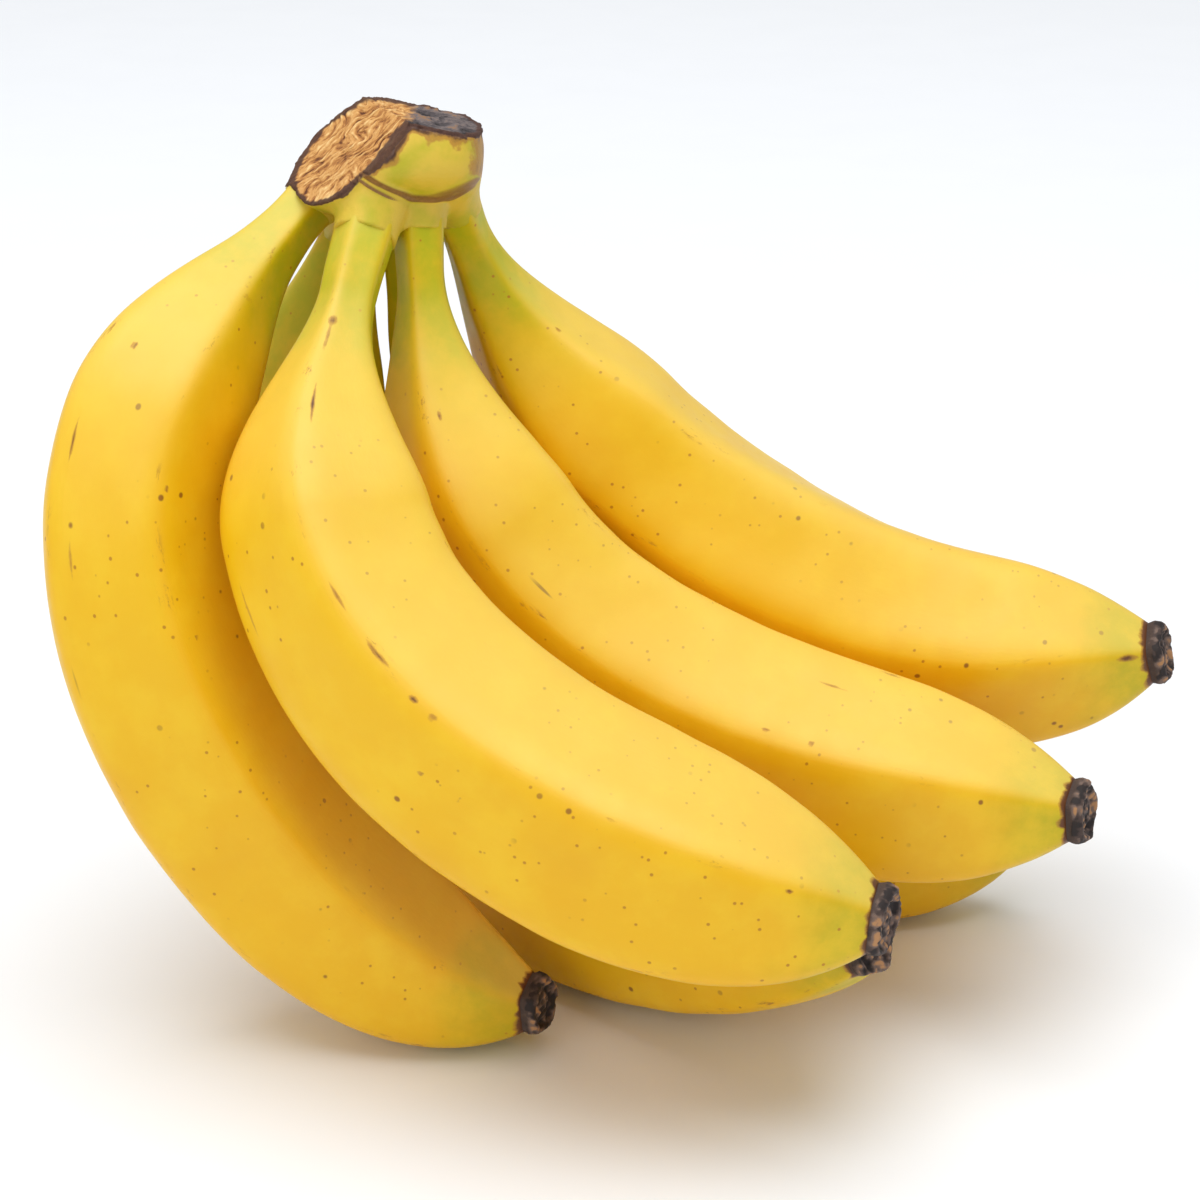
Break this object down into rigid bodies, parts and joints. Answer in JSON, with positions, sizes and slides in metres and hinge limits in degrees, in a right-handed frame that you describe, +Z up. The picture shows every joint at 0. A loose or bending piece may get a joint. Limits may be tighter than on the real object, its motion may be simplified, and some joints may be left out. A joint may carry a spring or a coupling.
{
  "type": "bunch of bananas",
  "caption": "Cut hand of ripe bananas in curved rows, joined at a woody crown and resting on the bellies of the lower row.",
  "frame": {"origin": "on the surface it rests on, under the middle of its bounding box", "axes": "+Z up; +X the way the fingers point, from the crown towards the blossom ends; -Y the side of the front finger"},
  "size_m": [0.2023, 0.1194, 0.1631],
  "materials": {
    "peel": "satin",
    "stalk": "matte",
    "blossom_end": "matte"
  },
  "bodies": {
    "root": {"crown": "stalk", "banana_left": "peel", "tip_left": "blossom_end", "banana_front": "peel", "tip_front": "blossom_end", "banana_middle": "peel", "tip_middle": "blossom_end", "banana_right": "peel", "tip_right": "blossom_end", "banana_under_front": "peel", "tip_under_front": "blossom_end", "banana_under_middle": "peel", "tip_under_middle": "blossom_end"}
  },
  "joints": []
}
